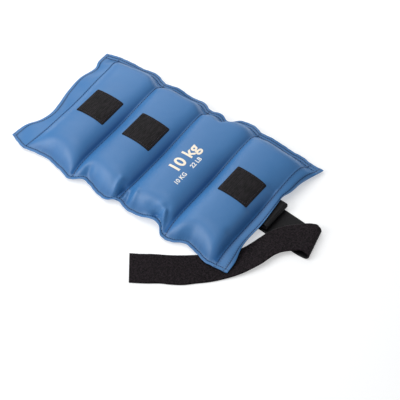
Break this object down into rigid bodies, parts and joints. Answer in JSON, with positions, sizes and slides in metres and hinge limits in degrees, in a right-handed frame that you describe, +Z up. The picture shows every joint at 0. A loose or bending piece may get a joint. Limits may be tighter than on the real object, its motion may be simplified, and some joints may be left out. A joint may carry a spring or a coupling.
{
  "type": "ankle cuff weight",
  "caption": "Flat vinyl cuff of shot-filled cells hinged at stitched seams, with hook patches on its face and a folded loop strap at one end.",
  "frame": {"origin": "middle of the flat underside of cell 3, on the surface the cuff lies on", "axes": "+X along the cuff towards the strap, +Y across it towards the double-stitched long hem, +Z up out of the face that carries the hook patches"},
  "size_m": [0.475, 0.323, 0.039],
  "materials": {
    "vinyl": "satin",
    "shot": "satin",
    "hook_tape": "matte",
    "loop_tape": "matte",
    "navy_thread": "matte",
    "black_thread": "matte"
  },
  "bodies": {
    "cell_1": {"cell_1_face_panel": "vinyl", "cell_1_back_panel": "vinyl", "cell_1_shot_fill": "shot", "cell_1_far_hem_thread": "navy_thread", "cell_1_near_hem_thread": "navy_thread", "cell_1_hook_patch": "hook_tape", "cell_1_hook_patch_thread": "black_thread", "seam_0_thread": "navy_thread", "seam_1_thread": "navy_thread"},
    "cell_2": {"cell_2_face_panel": "vinyl", "cell_2_back_panel": "vinyl", "cell_2_shot_fill": "shot", "cell_2_far_hem_thread": "navy_thread", "cell_2_near_hem_thread": "navy_thread", "cell_2_hook_patch": "hook_tape", "cell_2_hook_patch_thread": "black_thread", "seam_2_thread": "navy_thread"},
    "cell_3": {"cell_3_face_panel": "vinyl", "cell_3_back_panel": "vinyl", "cell_3_shot_fill": "shot", "cell_3_far_hem_thread": "navy_thread", "cell_3_near_hem_thread": "navy_thread"},
    "cell_4": {"cell_4_face_panel": "vinyl", "cell_4_back_panel": "vinyl", "cell_4_shot_fill": "shot", "cell_4_far_hem_thread": "navy_thread", "cell_4_near_hem_thread": "navy_thread", "cell_4_hook_patch": "hook_tape", "cell_4_hook_patch_thread": "black_thread", "seam_3_thread": "navy_thread", "seam_4_thread": "navy_thread", "end_margin_face_ply": "vinyl", "end_margin_back_ply": "vinyl", "end_margin_thread": "navy_thread", "strap_anchor": "loop_tape"},
    "flap": {"flap_face_ply": "vinyl", "flap_back_ply": "vinyl", "flap_hem_thread": "navy_thread"},
    "strap": {"strap_root_fold": "loop_tape", "strap_lower_run": "loop_tape", "strap_turn": "loop_tape", "strap_band": "loop_tape"},
    "strap_tail": {"strap_tail": "loop_tape"}
  },
  "joints": [
    {"name": "seam_2_hinge", "type": "hinge", "parent": "cell_3", "child": "cell_2", "pos_m": [-0.043, 0, 0.0145], "axis": [0, -1, 0], "range_deg": [-50, 70]},
    {"name": "seam_1_hinge", "type": "hinge", "parent": "cell_2", "child": "cell_1", "pos_m": [-0.129, 0, 0.0145], "axis": [0, -1, 0], "range_deg": [-50, 70]},
    {"name": "flap_hinge", "type": "hinge", "parent": "cell_1", "child": "flap", "pos_m": [-0.215, 0, 0.0105], "axis": [0, -1, 0], "range_deg": [-75, 75]},
    {"name": "seam_3_hinge", "type": "hinge", "parent": "cell_3", "child": "cell_4", "pos_m": [0.043, 0, 0.0145], "axis": [0, 1, 0], "range_deg": [-50, 70]},
    {"name": "strap_hinge", "type": "hinge", "parent": "cell_4", "child": "strap", "pos_m": [0.1465, 0, 0.01065], "axis": [0, -1, 0], "range_deg": [0, 75]},
    {"name": "strap_tail_hinge", "type": "hinge", "parent": "strap", "child": "strap_tail", "pos_m": [0.0986, -0.14465, 0.00185], "axis": [-0.5839, 0.8118, 0], "range_deg": [0, 80]}
  ]
}
